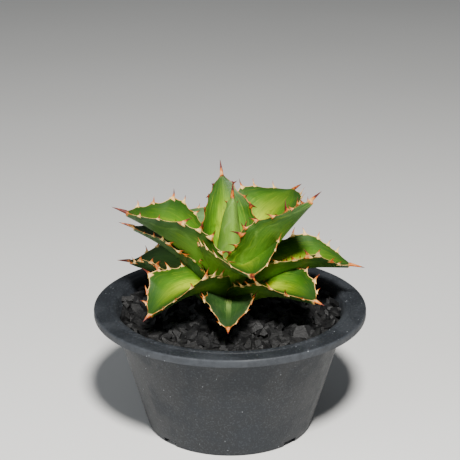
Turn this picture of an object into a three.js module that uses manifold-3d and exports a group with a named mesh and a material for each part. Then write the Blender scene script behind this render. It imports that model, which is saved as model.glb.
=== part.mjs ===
// Potted agave: a small rosette of thick, guttered, toothed leaves on a short rooted stem, planted
// in gritty soil under a stone top dressing, in a round plastic pan with a wide flanged rim.
// Millimetres, +Z up, origin at the centre of the pot's foot. The plant's front faces -Y.

import * as THREE from 'three';
import { mergeVertices } from 'three/addons/utils/BufferGeometryUtils.js';
import Module from 'manifold-3d';

const wasm = await Module();
wasm.setup();

// ---- Driving dimensions --------------------------------------------------------------------

const GAP = 0.3; // clearance between pieces that touch
const LEAF_GAP = 0.45; // clearance between leaves where one presses on another

const POT = {
  rimRadius: 75, // outside of the lip
  rimWidth: 12.6, // flat flange, lip to opening
  rimThickness: 2.4,
  lipDepth: 4.3, // how far the lip turns down
  lipWall: 2.2,
  beadHeight: 0.5, // rounded bead round the opening
  beadWidth: 3.4,
  height: 70, // foot to the top of the rim
  footRadius: 46,
  footHeight: 3,
  footWidth: 5,
  wall: 2.4,
  floor: 2.6,
  sides: 48,
};

const DRAIN = {
  holeRadius: 4.5,
  circleRadius: 26,
  count: 8,
  notchWidth: 9, // gaps in the foot ring that let water out
  notchCount: 4,
};

const SCREEN = {
  radius: 34,
  thickness: 1,
  holeSize: 6,
  pitch: 10,
  border: 1.5,
  sides: 24,
};

const FILL = {
  drainageDepth: 10,
  dressingBelowRim: 4.5,
  dressingDepth: 12.5,
  chipBump: 1.4, // how far single stones stand up out of the bed
};

const STEM = {
  radius: 9,
  crownAboveDressing: 12.5,
  depthInSoil: 16,
  rootCount: 6,
  rootRadius: 1.6,
  rootReach: 30,
  rootDrop: 18,
};

const ROSETTE = {
  spiralStart: 20, // direction of the innermost leaf, degrees from +X
  spiralStep: -137.5, // the golden angle, from each leaf to the next older one
  innerBaseRadius: 2.5,
  outerBaseRadius: 9.5,
  innerBaseHeight: 16.5, // above the dressing
  outerBaseHeight: 6.5,
  oldestStep: 20,
};

const LEAF = {
  keel: 6.5, // thickness at the base
  tipKeel: 2.2, // thickness where the end spine starts
  crown: 0.6, // slight rise of the inner face
  baseWidthShare: 0.7, // width where the leaf clasps the stem
  gutterFadesFrom: 0.7, // share of the blade past which the fold opens out
  spineLength: 9,
  spineRadius: 1.1,
  toothLength: 2.2,
  toothRadius: 0.9,
  toothLean: 0.35, // lower teeth point back towards the base, upper ones on towards the tip
  firstTooth: 0.34, // share of the blade at which the teeth start and stop
  lastTooth: 0.84,
  teethPerSide: 4,
  sides: 8,
  rings: 7,
};

// Each leaf by its place on the spiral, youngest first. turn is how far it strays from the spiral
// in degrees, rise the angle at which it leaves the stem, reach and height where its spine ends
// (out from the plant's axis, and above the rim), gutter how deeply it is folded, widest the share
// of the blade's length at which it is widest, and roll how far it leans over sideways in degrees.
const leaf = (name, step, turn, rise, reach, height, width, gutter, widest, roll = 0) => ({
  name, step, turn, rise, reach, height, width, gutter, widest, roll,
});

const LEAVES = [
  leaf('leaf_inner', 0, 0, 86, 10, 48, 20, 0.7, 0.5),
  leaf('leaf_spear', 1, 40, 88, 7, 73, 13, 0.8, 0.4),
  leaf('leaf_back_tall', 2, 0, 84, 21, 77, 28, 0.5, 0.5),
  leaf('leaf_right_tall', 3, 0, 58, 56, 75, 35, 0.45, 0.6, -3),
  leaf('leaf_left_tall', 4, 0, 60, 64, 60, 40, 0.65, 0.55),
  leaf('leaf_back_right', 5, 0, 74, 68, 52, 39, 0.42, 0.66),
  leaf('leaf_front', 6, 7, 70, 62, 37, 38, 0.6, 0.6),
  leaf('leaf_back_left', 7, 0, 70, 49, 48, 40, 0.5, 0.6),
  leaf('leaf_right', 8, 0, 46, 74, 21, 32, 0.5, 0.66),
  leaf('leaf_front_left', 9, 5, 44, 67, 10, 30, 0.5, 0.62, 6),
  leaf('leaf_back', 10, 0, 56, 62, 34, 40, 0.5, 0.6),
  leaf('leaf_front_right', 11, 12, 34, 65, 16, 31, 0.42, 0.62),
  leaf('leaf_left', 12, 6, 64, 61, 46, 22, 0.3, 0.55),
  leaf('leaf_back_right_low', 13, 0, 40, 60, 14, 36, 0.45, 0.6),
  leaf('leaf_front_low', 14, 14, 28, 58, 7, 23, 0.4, 0.6),
  leaf('leaf_back_low', 15, -10, 30, 62, 14, 34, 0.45, 0.6),
  leaf('leaf_left_low', 20, 5, 34, 71, 14, 34, 0.5, 0.6),
];

// ---- Sizes that follow from them -----------------------------------------------------------

const openingRadius = POT.rimRadius - POT.rimWidth;
const floorTop = POT.footHeight + POT.floor;
const wallTop = POT.height - POT.rimThickness / 4;
const dressingTop = POT.height - FILL.dressingBelowRim;
const dressingBottom = dressingTop - FILL.dressingDepth;
const screenTop = floorTop + GAP + SCREEN.thickness;
const drainageTop = screenTop + GAP + FILL.drainageDepth;
const crownTop = dressingTop + STEM.crownAboveDressing;
const stemBottom = dressingBottom - STEM.depthInSoil;
const degrees = Math.PI / 180;

// ---- Helpers -------------------------------------------------------------------------------

/** A repeatable source of numbers from 0 to 1. */
function seededRandom(seed) {
  let state = seed;
  return () => {
    state = (state * 1664525 + 1013904223) % 4294967296;
    return state / 4294967296;
  };
}

/** A closed geometry as a solid for joining and cutting. */
function toSolid(geometry) {
  const bare = geometry.clone();
  bare.deleteAttribute('normal');
  bare.deleteAttribute('uv');
  const merged = mergeVertices(bare, 1e-5);
  const vertProperties = new Float32Array(merged.attributes.position.array);
  const triVerts = new Uint32Array(merged.index.array);
  return new wasm.Manifold(new wasm.Mesh({ numProp: 3, vertProperties, triVerts }));
}

/** A solid back as a geometry for a mesh. */
function toGeometry(solid) {
  const mesh = solid.getMesh();
  const geometry = new THREE.BufferGeometry();
  geometry.setAttribute('position', new THREE.BufferAttribute(mesh.vertProperties, 3));
  geometry.setIndex(new THREE.BufferAttribute(mesh.triVerts, 1));
  geometry.computeVertexNormals();
  return geometry;
}

/** The largest of a solid's separate bodies, so that a cut leaves no loose slivers. */
function mainBody(solid) {
  const bodies = solid.decompose();
  return bodies.reduce((best, body) => (body.volume() > best.volume() ? body : best));
}

/** A turned shape about +Z from [radius, height] points. */
function turned(points, sides) {
  const profile = points.map(([radius, height]) => new THREE.Vector2(radius, height));
  return new THREE.LatheGeometry(profile, sides).rotateX(Math.PI / 2);
}

/** Points of an arc in a profile, about a centre, between two angles in degrees. */
function arc(centreRadius, centreHeight, radius, from, to, steps) {
  return Array.from({ length: steps + 1 }, (_, i) => {
    const angle = (from + ((to - from) * i) / steps) * degrees;
    return [centreRadius + radius * Math.cos(angle), centreHeight + radius * Math.sin(angle)];
  });
}

/** A regular polygon as a shape to extrude. */
function polygon(radius, sides) {
  const corners = Array.from({ length: sides }, (_, i) => {
    const angle = (i * 2 * Math.PI) / sides;
    return new THREE.Vector2(radius * Math.cos(angle), radius * Math.sin(angle));
  });
  return new THREE.Shape(corners);
}

/** The pot's inner wall radius at a height. */
function innerRadius(height) {
  const share = (height - floorTop) / (wallTop - floorTop);
  return THREE.MathUtils.lerp(POT.footRadius - POT.wall, openingRadius, share);
}

/** A plug that fills the pot between two heights, clear of its wall. */
function fillProfile(bottom, top) {
  return [
    [0, bottom],
    [innerRadius(bottom) - GAP, bottom],
    [innerRadius(top) - GAP, top],
    [0, top],
  ];
}

// ---- Pot -----------------------------------------------------------------------------------

/** The pan: flanged rim with a turned-down lip, tapered wall, foot ring and drained floor. */
function buildPot() {
  const rimUnder = POT.height - POT.rimThickness;
  const lipBottom = POT.height - POT.lipDepth;
  const edge = POT.rimThickness / 2;
  const beadCentre = openingRadius + POT.beadWidth / 2;
  const beadTop = POT.height + POT.beadHeight;
  const profile = [
    [0, POT.footHeight],
    [POT.footRadius - POT.footWidth, POT.footHeight],
    [POT.footRadius - POT.footWidth, 0],
    [POT.footRadius, 0],
    [openingRadius + POT.wall, rimUnder],
    [POT.rimRadius - POT.lipWall, rimUnder],
    [POT.rimRadius - POT.lipWall, lipBottom],
    [POT.rimRadius, lipBottom],
    ...arc(POT.rimRadius - edge, POT.height - edge, edge, 0, 90, 2),
    [openingRadius + POT.beadWidth, POT.height],
    [beadCentre, beadTop],
    [openingRadius, wallTop],
    [innerRadius(floorTop), floorTop],
    [0, floorTop],
  ];
  let pot = toSolid(turned(profile, POT.sides));
  const cutLength = POT.floor + 2;
  for (let i = 0; i < DRAIN.count; i += 1) {
    const angle = (i * 2 * Math.PI) / DRAIN.count;
    const hole = new THREE.CylinderGeometry(DRAIN.holeRadius, DRAIN.holeRadius, cutLength, 12);
    hole.rotateX(Math.PI / 2);
    hole.translate(
      DRAIN.circleRadius * Math.cos(angle),
      DRAIN.circleRadius * Math.sin(angle),
      POT.footHeight + POT.floor / 2,
    );
    pot = pot.subtract(toSolid(hole));
  }
  for (let i = 0; i < DRAIN.notchCount; i += 1) {
    const angle = ((i + 0.5) * 2 * Math.PI) / DRAIN.notchCount;
    const length = POT.footWidth + 6;
    const notch = new THREE.BoxGeometry(length, DRAIN.notchWidth, POT.footHeight);
    notch.translate(POT.footRadius - POT.footWidth / 2, 0, 0);
    notch.rotateZ(angle);
    pot = pot.subtract(toSolid(notch));
  }
  return pot;
}

/** A stiff mesh disc that keeps the drainage stones off the holes. */
function buildScreen() {
  const { radius, thickness, holeSize, pitch, sides } = SCREEN;
  const middle = floorTop + GAP + thickness / 2;
  const disc = new THREE.CylinderGeometry(radius, radius, thickness, sides);
  let screen = toSolid(disc.rotateX(Math.PI / 2).translate(0, 0, middle));
  const reach = Math.floor(radius / pitch);
  for (let column = -reach; column <= reach; column += 1) {
    for (let row = -reach; row <= reach; row += 1) {
      const corner = [column, row].map((cell) => Math.abs(cell * pitch) + holeSize / 2);
      if (Math.hypot(...corner) < radius - SCREEN.border) {
        const hole = new THREE.BoxGeometry(holeSize, holeSize, thickness + 1);
        hole.translate(column * pitch, row * pitch, middle);
        screen = screen.subtract(toSolid(hole));
      }
    }
  }
  return screen;
}

/** The top dressing: a bed of stones with an uneven top, level with the soil beneath. */
function buildDressing() {
  const random = seededRandom(7);
  const outer = innerRadius(dressingTop) - GAP - 0.5;
  const bottom = dressingBottom + GAP;
  const ringCount = 7;
  const sides = 30;
  const top = Array.from({ length: ringCount + 1 }, (_, i) => [
    outer * (1 - i / ringCount),
    dressingTop,
  ]);
  const geometry = turned([[0, bottom], [innerRadius(bottom) - GAP - 0.5, bottom], ...top], sides);
  const position = geometry.attributes.position;
  const bumps = new Map();
  for (let i = 0; i < position.count; i += 1) {
    const x = position.getX(i);
    const y = position.getY(i);
    const radius = Math.hypot(x, y);
    if (position.getZ(i) > dressingTop - 0.01 && radius < outer - 0.1) {
      const key = `${Math.round(x * 10)},${Math.round(y * 10)}`;
      if (!bumps.has(key)) {
        bumps.set(key, (random() - 0.5) * 2 * FILL.chipBump);
      }
      position.setZ(i, dressingTop + bumps.get(key));
    }
  }
  return toSolid(geometry);
}

// ---- Plant ---------------------------------------------------------------------------------

/** The short stem and its roots; grow makes the hollow that leaves room for them. */
function buildStem(grow) {
  const radius = STEM.radius + grow;
  const bottom = stemBottom - grow;
  const top = crownTop + grow;
  const stem = turned(
    [
      [0, bottom],
      [radius * 0.6, bottom + 2],
      [radius, bottom + 8],
      [radius, dressingTop],
      [radius * 0.5, top - 1],
      [0, top],
    ],
    20,
  );
  let solid = toSolid(stem);
  for (let i = 0; i < STEM.rootCount; i += 1) {
    const angle = (i * 2 * Math.PI) / STEM.rootCount;
    const along = (reach, height) =>
      new THREE.Vector3(reach * Math.cos(angle), reach * Math.sin(angle), height);
    const start = stemBottom + 9;
    const root = new THREE.QuadraticBezierCurve3(
      along(STEM.radius * 0.4, start),
      along(STEM.rootReach * 0.6, start),
      along(STEM.rootReach + grow, start - STEM.rootDrop),
    );
    const section = polygon(STEM.rootRadius + grow, 6);
    const tube = new THREE.ExtrudeGeometry(section, { steps: 6, extrudePath: root });
    solid = solid.add(toSolid(tube));
  }
  return solid;
}

/** Where a leaf starts, bends and ends, and the frame that its sections stand in. */
function leafPath(leaf) {
  const age = leaf.step / ROSETTE.oldestStep;
  const azimuth = (ROSETTE.spiralStart + ROSETTE.spiralStep * leaf.step + leaf.turn) * degrees;
  const outward = new THREE.Vector3(Math.cos(azimuth), Math.sin(azimuth), 0);
  const up = new THREE.Vector3(0, 0, 1);
  const baseRadius = THREE.MathUtils.lerp(ROSETTE.innerBaseRadius, ROSETTE.outerBaseRadius, age);
  const baseHeight = THREE.MathUtils.lerp(ROSETTE.innerBaseHeight, ROSETTE.outerBaseHeight, age);
  const place = (reach, height) =>
    outward.clone().multiplyScalar(reach).addScaledVector(up, height);
  const base = place(baseRadius, dressingTop + baseHeight);
  const tip = place(leaf.reach, POT.height + leaf.height);
  const armLength = base.distanceTo(tip) * 0.5;
  const rise = leaf.rise * degrees;
  const shoulder = base.clone();
  shoulder.addScaledVector(outward, armLength * Math.cos(rise));
  shoulder.addScaledVector(up, armLength * Math.sin(rise));
  const curve = new THREE.QuadraticBezierCurve3(base, shoulder, tip);
  const side = new THREE.Vector3().crossVectors(up, outward);
  side.applyAxisAngle(tip.clone().sub(base).normalize(), leaf.roll * degrees);
  return { curve, side, length: curve.getLength() };
}

/** Half the leaf's width at a share of its length, down to the end spine's radius. */
function halfWidth(leaf, share, bladeEnd) {
  const along = Math.min(share / bladeEnd, 1);
  const full = leaf.width / 2;
  if (along < leaf.widest) {
    const swell = Math.sin((along / leaf.widest) * (Math.PI / 2));
    return full * THREE.MathUtils.lerp(LEAF.baseWidthShare, 1, swell);
  }
  const narrowing = ((along - leaf.widest) / (1 - leaf.widest)) ** 1.8;
  return THREE.MathUtils.lerp(full, LEAF.spineRadius, narrowing);
}

/** One leaf with its teeth and end spine, all grown as one piece. */
function buildLeaf(leaf, grow) {
  const { curve, side, length } = leafPath(leaf);
  const bladeEnd = 1 - LEAF.spineLength / length;
  const fadeStart = bladeEnd * LEAF.gutterFadesFrom;
  const gutterFade = (share) => 1 - Math.max(0, (share - fadeStart) / (1 - fadeStart));
  const frameAt = (share) => {
    const centre = curve.getPointAt(share);
    const tangent = curve.getTangentAt(share);
    const normal = new THREE.Vector3().crossVectors(tangent, side).normalize();
    return { centre, normal };
  };
  const onBlade = (share, across) => {
    const { centre, normal } = frameAt(share);
    const width = halfWidth(leaf, share, bladeEnd);
    const gutter = leaf.gutter * width * across * across * gutterFade(share);
    return centre.addScaledVector(side, width * across).addScaledVector(normal, gutter);
  };

  const blade = new THREE.ConeGeometry(1, 1, LEAF.sides, LEAF.rings);
  const position = blade.attributes.position;
  for (let i = 0; i < position.count; i += 1) {
    const share = THREE.MathUtils.clamp(position.getY(i) + 0.5, 0, 1);
    const radius = Math.hypot(position.getX(i), position.getZ(i));
    const { centre, normal } = frameAt(share);
    if (share > 0.9999 || radius < 1e-6) {
      centre.addScaledVector(curve.getTangentAt(share), share > 0.5 ? 2 * grow : -grow);
      position.setXYZ(i, centre.x, centre.y, centre.z);
      continue;
    }
    const across = position.getX(i) / radius;
    const upward = -position.getZ(i) / radius;
    const inSpine = Math.max(0, (share - bladeEnd) / (1 - bladeEnd));
    const spine = LEAF.spineRadius * (1 - inSpine);
    const width = inSpine > 0 ? spine : halfWidth(leaf, share, bladeEnd);
    const bladeKeel = THREE.MathUtils.lerp(LEAF.keel, LEAF.tipKeel, share / bladeEnd);
    const keel = inSpine > 0 ? spine : bladeKeel;
    const crown = inSpine > 0 ? spine : LEAF.crown;
    const outwards = (width + grow) * across;
    const gutter = (leaf.gutter * gutterFade(share) * outwards * outwards) / width;
    const lift = ((upward > 0 ? crown : keel) + 2 * grow) * upward;
    centre.addScaledVector(side, outwards);
    centre.addScaledVector(normal, gutter + lift);
    position.setXYZ(i, centre.x, centre.y, centre.z);
  }
  let solid = toSolid(blade);

  for (const edge of [-1, 1]) {
    for (let i = 0; i < LEAF.teethPerSide; i += 1) {
      const step = i / (LEAF.teethPerSide - 1);
      const share = bladeEnd * THREE.MathUtils.lerp(LEAF.firstTooth, LEAF.lastTooth, step);
      const root = onBlade(share, edge * 0.93);
      const outside = onBlade(share, edge);
      const direction = outside.clone().sub(onBlade(share, edge * 0.7)).normalize();
      const lean = THREE.MathUtils.lerp(-LEAF.toothLean, LEAF.toothLean, step);
      direction.addScaledVector(curve.getTangentAt(share), lean).normalize();
      const height = LEAF.toothLength + 2 * grow + outside.distanceTo(root);
      const tooth = new THREE.ConeGeometry(LEAF.toothRadius + grow, height, 4);
      tooth.translate(0, height / 2, 0);
      const turn = new THREE.Quaternion().setFromUnitVectors(new THREE.Vector3(0, 1, 0), direction);
      tooth.applyQuaternion(turn);
      tooth.translate(root.x, root.y, root.z);
      solid = solid.add(toSolid(tooth));
    }
  }
  return solid;
}

/** All leaves, each cut back where a younger leaf or the stem already stands. */
function buildLeaves(stemRoom) {
  const rooms = [stemRoom];
  return LEAVES.map((leaf) => {
    const whole = buildLeaf(leaf, 0);
    const cut = rooms.reduce((solid, room) => solid.subtract(room), whole);
    rooms.push(buildLeaf(leaf, LEAF_GAP));
    return { name: leaf.name, solid: mainBody(cut), room: rooms.at(-1) };
  });
}

// ---- Materials -----------------------------------------------------------------------------

const finish = (color, roughness) => new THREE.MeshStandardMaterial({ color, roughness, metalness: 0 });

const FINISH = {
  plastic: () => finish(0x3a4046, 0.55),
  mesh: () => finish(0x22262a, 0.6),
  pumice: () => finish(0xb9b0a0, 0.95),
  soil: () => finish(0x3b2a1e, 1),
  stone: () => finish(0x3c3c3d, 0.9),
  stem: () => finish(0x9a8f6a, 0.85),
  leaf: () => finish(0x5d8a35, 0.5),
};

// ---- Assembly ------------------------------------------------------------------------------

const agave = new THREE.Group();
agave.name = 'potted_agave';

function addPiece(name, solid, material) {
  const mesh = new THREE.Mesh(toGeometry(solid), material);
  mesh.name = name;
  agave.add(mesh);
}

const stemRoom = buildStem(GAP);
const leaves = buildLeaves(stemRoom);
const drainage = toSolid(turned(fillProfile(screenTop + GAP, drainageTop), POT.sides));
const soilShape = toSolid(turned(fillProfile(drainageTop + GAP, dressingBottom), POT.sides));
const dressing = leaves.reduce((bed, leaf) => bed.subtract(leaf.room), buildDressing());

addPiece('pot', buildPot(), FINISH.plastic());
addPiece('drainage_screen', buildScreen(), FINISH.mesh());
addPiece('drainage_layer', drainage, FINISH.pumice());
addPiece('potting_soil', soilShape.subtract(stemRoom), FINISH.soil());
addPiece('top_dressing', mainBody(dressing.subtract(stemRoom)), FINISH.stone());
addPiece('stem', buildStem(0), FINISH.stem());
leaves.forEach(({ name, solid }) => addPiece(name, solid, FINISH.leaf()));

export default agave;
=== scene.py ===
"""Potted agave: a toothed, guttered rosette in a flanged pan, under a dressing of stone chips."""

import logging
import math
import random
from dataclasses import dataclass, field
from enum import Enum
from itertools import pairwise
from typing import Sequence

import bpy
import numpy as np
from mathutils import Matrix, Vector


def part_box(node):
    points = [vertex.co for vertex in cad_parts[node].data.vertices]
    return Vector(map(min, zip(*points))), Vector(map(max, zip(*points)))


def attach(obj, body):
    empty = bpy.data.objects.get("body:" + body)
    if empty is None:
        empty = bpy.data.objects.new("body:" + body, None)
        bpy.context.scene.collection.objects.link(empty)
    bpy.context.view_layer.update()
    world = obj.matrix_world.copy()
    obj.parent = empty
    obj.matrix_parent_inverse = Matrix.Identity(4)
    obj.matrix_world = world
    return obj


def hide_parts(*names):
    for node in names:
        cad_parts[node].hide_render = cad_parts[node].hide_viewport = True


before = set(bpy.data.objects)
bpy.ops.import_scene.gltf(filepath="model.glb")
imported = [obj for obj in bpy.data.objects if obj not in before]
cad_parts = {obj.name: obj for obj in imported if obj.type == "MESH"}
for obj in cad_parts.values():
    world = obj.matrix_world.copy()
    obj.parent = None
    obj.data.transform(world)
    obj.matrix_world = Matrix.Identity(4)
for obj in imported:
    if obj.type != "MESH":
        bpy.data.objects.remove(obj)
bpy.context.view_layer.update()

log = logging.getLogger("agave")

MM = 0.001
BODY = "root"
Colour = tuple[float, float, float]
Spot = tuple[float, float, float]
Profile = Sequence[tuple[float, float]]


# ---- Working at the bench ------------------------------------------------------------------


def clear_selection() -> None:
    """Leave edit mode and select nothing."""
    if bpy.context.mode != "OBJECT":
        bpy.ops.object.mode_set(mode="OBJECT")
    bpy.ops.object.select_all(action="DESELECT")


def pick(piece: bpy.types.Object) -> None:
    """Select one piece alone and make it active.

    Args:
        piece: the piece.
    """
    clear_selection()
    piece.select_set(True)
    bpy.context.view_layer.objects.active = piece


def join(pieces: Sequence[bpy.types.Object], name: str) -> bpy.types.Object:
    """Join pieces into the first of them.

    Args:
        pieces: the pieces, the first of which stays.
        name: the joined piece's name.

    Returns:
        The joined piece.
    """
    clear_selection()
    for piece in pieces:
        piece.select_set(True)
    bpy.context.view_layer.objects.active = pieces[0]
    if len(pieces) > 1:
        bpy.ops.object.join()
    pieces[0].name = name
    pieces[0].data.name = name
    return pieces[0]


def store(mesh: bpy.types.Mesh, name: str, values: np.ndarray) -> None:
    """Keep one number for each of a mesh's points, for its material to read.

    Args:
        mesh: the mesh.
        name: the attribute's name.
        values: one number for each point.
    """
    attribute = mesh.attributes.get(name) or mesh.attributes.new(name, "FLOAT", "POINT")
    attribute.data.foreach_set("value", np.asarray(values, np.float32))


def points_of(mesh: bpy.types.Mesh) -> np.ndarray:
    """Read a mesh's points.

    Args:
        mesh: the mesh.

    Returns:
        The points, as rows of x, y and z.
    """
    flat = np.empty(len(mesh.vertices) * 3)
    mesh.vertices.foreach_get("co", flat)
    return flat.reshape(-1, 3)


def place_points(mesh: bpy.types.Mesh, points: np.ndarray) -> None:
    """Move a mesh's points to new places."""
    mesh.vertices.foreach_set("co", np.asarray(points, np.float32).ravel())
    mesh.update()


def turn_on_wheel(name: str, profile: Profile, sides: int) -> bpy.types.Object:
    """Model a closed turned shape, ring by ring, from the profile's first point to its last.

    Args:
        name: the piece's name.
        profile: radius and height of each ring, in metres.
        sides: points round each ring.

    Returns:
        The piece, closed at both ends, with its faces pointing outwards.
    """
    clear_selection()
    first_radius, first_height = profile[0]
    bpy.ops.mesh.primitive_circle_add(
        vertices=sides, radius=first_radius, fill_type="NGON", location=(0, 0, first_height)
    )
    piece = bpy.context.object
    bpy.ops.object.transform_apply(location=True, rotation=True, scale=True)
    bpy.ops.object.mode_set(mode="EDIT")
    bpy.ops.mesh.select_all(action="SELECT")
    for (radius, height), (next_radius, next_height) in pairwise(profile):
        bpy.ops.mesh.extrude_region_move(
            TRANSFORM_OT_translate={"value": (0, 0, next_height - height)}
        )
        grow = next_radius / radius
        bpy.ops.transform.resize(value=(grow, grow, 1), center_override=(0, 0, next_height))
    bpy.ops.mesh.select_all(action="SELECT")
    bpy.ops.mesh.normals_make_consistent(inside=False)
    clear_selection()
    piece.name = name
    piece.data.name = name
    return piece


def finish_piece(piece: bpy.types.Object, slot: str, *nodes: str) -> bpy.types.Object:
    """Hand a finished piece over to the frame.

    Args:
        piece: the piece, in place.
        slot: the record's material slot; not used.
        nodes: the CAD nodes that it stands for.

    Returns:
        The piece.
    """
    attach(piece, BODY)
    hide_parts(*nodes)
    log.info("%s: %d faces, for %s", piece.name, len(piece.data.polygons), ", ".join(nodes))
    return piece


# ---- Finishes ------------------------------------------------------------------------------


class Graph:
    """A material's nodes, made and joined in few words."""

    def __init__(self, name: str) -> None:
        """Start an empty material with a shader and an output.

        Args:
            name: the material's name.
        """
        self.material = bpy.data.materials.new(name)
        self.material.use_nodes = True
        self.nodes = self.material.node_tree.nodes
        self.links = self.material.node_tree.links
        self.nodes.clear()
        self.shader = self.nodes.new("ShaderNodeBsdfPrincipled")
        output = self.nodes.new("ShaderNodeOutputMaterial")
        self.links.new(self.shader.outputs["BSDF"], output.inputs["Surface"])

    def plug(self, value: object, socket: bpy.types.NodeSocket) -> None:
        """Set a socket to a number or colour, or join another node's output to it.

        Args:
            value: the number, the colour, or the other node's output.
            socket: the socket to set or join.
        """
        if isinstance(value, bpy.types.NodeSocket):
            self.links.new(value, socket)
        elif isinstance(value, tuple) and len(value) == 3 and socket.type == "RGBA":
            socket.default_value = (*value, 1.0)
        else:
            socket.default_value = value

    def attribute(self, name: str) -> bpy.types.NodeSocket:
        """Read a number that the mesh stores for each of its points.

        Args:
            name: what it is stored under.

        Returns:
            The number's socket.
        """
        node = self.nodes.new("ShaderNodeAttribute")
        node.attribute_name = name
        return node.outputs["Fac"]

    def place(self) -> bpy.types.NodeSocket:
        """Return the point's place on the piece."""
        return self.nodes.new("ShaderNodeTexCoord").outputs["Object"]

    def radius(self, where: bpy.types.NodeSocket) -> bpy.types.NodeSocket:
        """Measure how far a point is from the upright axis.

        Args:
            where: the point's place.

        Returns:
            The distance's socket.
        """
        node = self.nodes.new("ShaderNodeVectorMath")
        node.operation = "MULTIPLY"
        self.plug(where, node.inputs[0])
        node.inputs[1].default_value = (1, 1, 0)
        length = self.nodes.new("ShaderNodeVectorMath")
        length.operation = "LENGTH"
        self.plug(node.outputs[0], length.inputs[0])
        return length.outputs["Value"]

    def maths(self, operation: str, *values: object) -> bpy.types.NodeSocket:
        """Do one sum.

        Args:
            operation: which sum, by the node's own name for it.
            values: the numbers that go in.

        Returns:
            The result's socket.
        """
        node = self.nodes.new("ShaderNodeMath")
        node.operation = operation
        for value, socket in zip(values, node.inputs):
            self.plug(value, socket)
        return node.outputs[0]

    def ramp(
        self, value: object, low: float, high: float, to_low: float = 0.0, to_high: float = 1.0
    ) -> bpy.types.NodeSocket:
        """Return a value eased from one range to another.

        Args:
            value: what to ease.
            low: where the change starts.
            high: where it ends.
            to_low: the result at low.
            to_high: the result at high.

        Returns:
            The eased value's socket.
        """
        node = self.nodes.new("ShaderNodeMapRange")
        node.interpolation_type = "SMOOTHSTEP"
        for given, key in zip(
            (value, low, high, to_low, to_high),
            ("Value", "From Min", "From Max", "To Min", "To Max"),
        ):
            self.plug(given, node.inputs[key])
        return node.outputs["Result"]

    def mix(self, share: object, first: object, second: object) -> bpy.types.NodeSocket:
        """Mix two colours.

        Args:
            share: the second colour's share.
            first: the first colour.
            second: the second colour.

        Returns:
            The mixed colour's socket.
        """
        node = self.nodes.new("ShaderNodeMix")
        node.data_type = "RGBA"
        self.plug(share, node.inputs[0])
        self.plug(first, node.inputs[6])
        self.plug(second, node.inputs[7])
        return node.outputs[2]

    def noise(
        self, where: bpy.types.NodeSocket, scale: float, detail: float = 3.0, rough: float = 0.5
    ) -> bpy.types.NodeSocket:
        """Return a soft random pattern.

        Args:
            where: the coordinates that it follows.
            scale: how fine it is.
            detail: how many finer layers it has.
            rough: how strong those layers are.

        Returns:
            The pattern's value, from 0 to 1.
        """
        node = self.nodes.new("ShaderNodeTexNoise")
        self.plug(where, node.inputs["Vector"])
        node.inputs["Scale"].default_value = scale
        node.inputs["Detail"].default_value = detail
        node.inputs["Roughness"].default_value = rough
        return node.outputs["Fac"]

    def cells(self, where: bpy.types.NodeSocket, scale: float) -> bpy.types.NodeSocket:
        """Scatter points and measure how far the nearest one is.

        Args:
            where: the coordinates to scatter them in.
            scale: how close together they are.

        Returns:
            The distance's socket.
        """
        node = self.nodes.new("ShaderNodeTexVoronoi")
        self.plug(where, node.inputs["Vector"])
        node.inputs["Scale"].default_value = scale
        return node.outputs["Distance"]

    def vector(self, x: object, y: object, z: object) -> bpy.types.NodeSocket:
        """Put three numbers together.

        Args:
            x: the first.
            y: the second.
            z: the third.

        Returns:
            The vector's socket.
        """
        node = self.nodes.new("ShaderNodeCombineXYZ")
        for value, socket in zip((x, y, z), node.inputs):
            self.plug(value, socket)
        return node.outputs[0]

    def relief(self, height: bpy.types.NodeSocket, strength: float, depth: float) -> None:
        """Give the surface a fine relief.

        Args:
            height: the relief's height.
            strength: how much of it shows.
            depth: its depth in metres.
        """
        node = self.nodes.new("ShaderNodeBump")
        node.inputs["Strength"].default_value = strength
        node.inputs["Distance"].default_value = depth
        self.plug(height, node.inputs["Height"])
        self.plug(node.outputs["Normal"], self.shader.inputs["Normal"])

    def surface(self, colour: object, roughness: object, specular: float = 0.5) -> None:
        """Set the shader's main sockets.

        Args:
            colour: the base colour.
            roughness: the roughness.
            specular: the specular level.
        """
        self.plug(colour, self.shader.inputs["Base Color"])
        self.plug(roughness, self.shader.inputs["Roughness"])
        self.shader.inputs["Specular IOR Level"].default_value = specular


@dataclass(frozen=True)
class PanPlastic:
    """Dark blue-grey moulded plastic, dusty and lightly scuffed, with a painted highlight on its outer lip.
    """

    lip_radius: float
    base: Colour = (0.008, 0.01, 0.013)
    dusty: Colour = (0.022, 0.026, 0.032)
    # worn grain, and also the painted highlight on the outer lip
    wear_and_highlight: Colour = (0.038, 0.043, 0.051)
    speck: Colour = (0.3, 0.32, 0.34)

    def material(self) -> bpy.types.Material:
        """Mix the finish.

        Returns:
            The pan's material.
        """
        graph = Graph("pan_plastic")
        where = graph.place()
        clouds = graph.ramp(graph.noise(where, 55, 5, 0.62), 0.38, 0.68)
        grain = graph.noise(where, 900, 3, 0.6)
        colour = graph.mix(graph.maths("MULTIPLY", clouds, 0.6), self.base, self.dusty)
        colour = graph.mix(graph.ramp(grain, 0.5, 0.68, 0, 0.7), colour, self.wear_and_highlight)
        # Painted highlight: the outer lip face is made lighter, broken up by scuffs.
        lip_highlight = graph.ramp(graph.radius(where), self.lip_radius - 0.9 * MM, self.lip_radius - 0.1 * MM)
        scuffed = graph.ramp(graph.noise(where, 190, 4, 0.6), 0.35, 0.65, 0.45, 1.0)
        colour = graph.mix(graph.maths("MULTIPLY", lip_highlight, scuffed), colour, self.wear_and_highlight)
        specks = graph.ramp(graph.cells(where, 420), 0.07, 0.14, 1, 0)
        patchy = graph.ramp(graph.noise(where, 140, 2), 0.54, 0.64)
        colour = graph.mix(graph.maths("MULTIPLY", specks, patchy), colour, self.speck)
        graph.surface(colour, graph.ramp(clouds, 0, 1, 0.58, 0.75), 0.4)
        graph.relief(graph.maths("ADD", grain, graph.noise(where, 220, 3)), 0.35, 0.0003)
        return graph.material


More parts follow.
